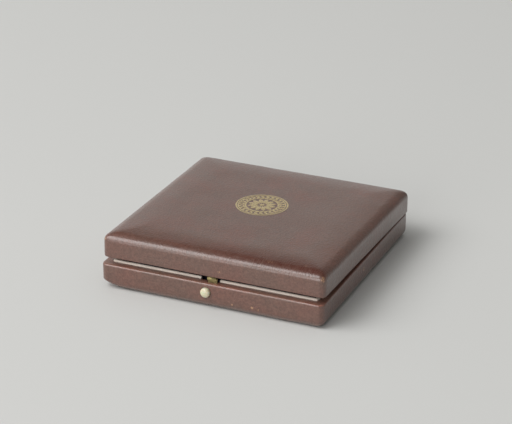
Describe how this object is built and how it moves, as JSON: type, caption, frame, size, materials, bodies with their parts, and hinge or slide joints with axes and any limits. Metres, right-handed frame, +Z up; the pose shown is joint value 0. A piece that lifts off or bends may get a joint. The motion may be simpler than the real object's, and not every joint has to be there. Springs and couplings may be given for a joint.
{
  "type": "medal presentation case",
  "caption": "Square leather-covered medal case: rounded hinged lid, push-button spring catch, satin lining, velvet tray with a round recess.",
  "frame": {"origin": "centre of the base's underside", "axes": "+Z up, -Y the front with the button, +X to the right of someone facing the front, hinges at +Y"},
  "size_m": [0.1105, 0.1136, 0.0276],
  "materials": {
    "brown_leather": "fine-grained, polished",
    "underside_paper": "matt",
    "beech": "bare",
    "cream_satin": "satin",
    "blue_velvet": "velvet",
    "card": "matt",
    "brass": "dull, lacquered",
    "ivory": "polished, ivory-coloured"
  },
  "bodies": {
    "base": {"base_leather": "brown_leather", "base_rail_front": "beech", "base_rail_back": "beech", "base_rail_left": "beech", "base_rail_right": "beech", "base_board": "beech", "underside_panel": "underside_paper", "lip_front_left": "cream_satin", "lip_front_right": "cream_satin", "lip_back": "cream_satin", "lip_left": "cream_satin", "lip_right": "cream_satin", "medal_pad": "blue_velvet", "recess_floor": "blue_velvet", "catch_foot": "brass", "catch_nail_left": "brass", "catch_nail_right": "brass", "hinge_left_base_leaf": "brass", "hinge_left_base_nail_1": "brass", "hinge_left_base_nail_2": "brass", "hinge_left_pin": "brass", "hinge_right_base_leaf": "brass", "hinge_right_base_nail_1": "brass", "hinge_right_base_nail_2": "brass", "hinge_right_pin": "brass"},
    "lid": {"lid_leather": "brown_leather", "lid_crown": "beech", "lid_rail_front": "beech", "lid_rail_back": "beech", "lid_rail_left": "beech", "lid_rail_right": "beech", "lid_border_front": "cream_satin", "lid_border_back": "cream_satin", "lid_border_left": "cream_satin", "lid_border_right": "cream_satin", "lining_card": "card", "lining_pad": "cream_satin", "keeper_plate": "brass", "keeper_nail_left": "brass", "keeper_nail_right": "brass", "hinge_left_lid_leaf": "brass", "hinge_left_lid_nail_1": "brass", "hinge_left_lid_nail_2": "brass", "hinge_right_lid_leaf": "brass", "hinge_right_lid_nail_1": "brass", "hinge_right_lid_nail_2": "brass"},
    "button": {"button_cap": "ivory", "button_stud": "brass"},
    "catch": {"catch_strip": "brass"}
  },
  "joints": [
    {"name": "lid_hinge", "type": "hinge", "parent": "base", "child": "lid", "pos_m": [0, 0.0556, 0.01225], "axis": [-1, 0, 0], "range_deg": [-1.6, 96]},
    {"name": "button_push", "type": "slide", "parent": "base", "child": "button", "axis": [0, 1, 0], "range_m": [0, 0.0005], "stiffness_N_per_m": 1500},
    {"name": "catch_flex", "type": "hinge", "parent": "base", "child": "catch", "pos_m": [0, -0.0521, 0.0044], "axis": [-1, 0, 0], "range_deg": [0, 8.7]}
  ],
  "couplings": [
    {"joint": "catch_flex", "follows": "button_push", "rad_per_m": 303.03}
  ]
}
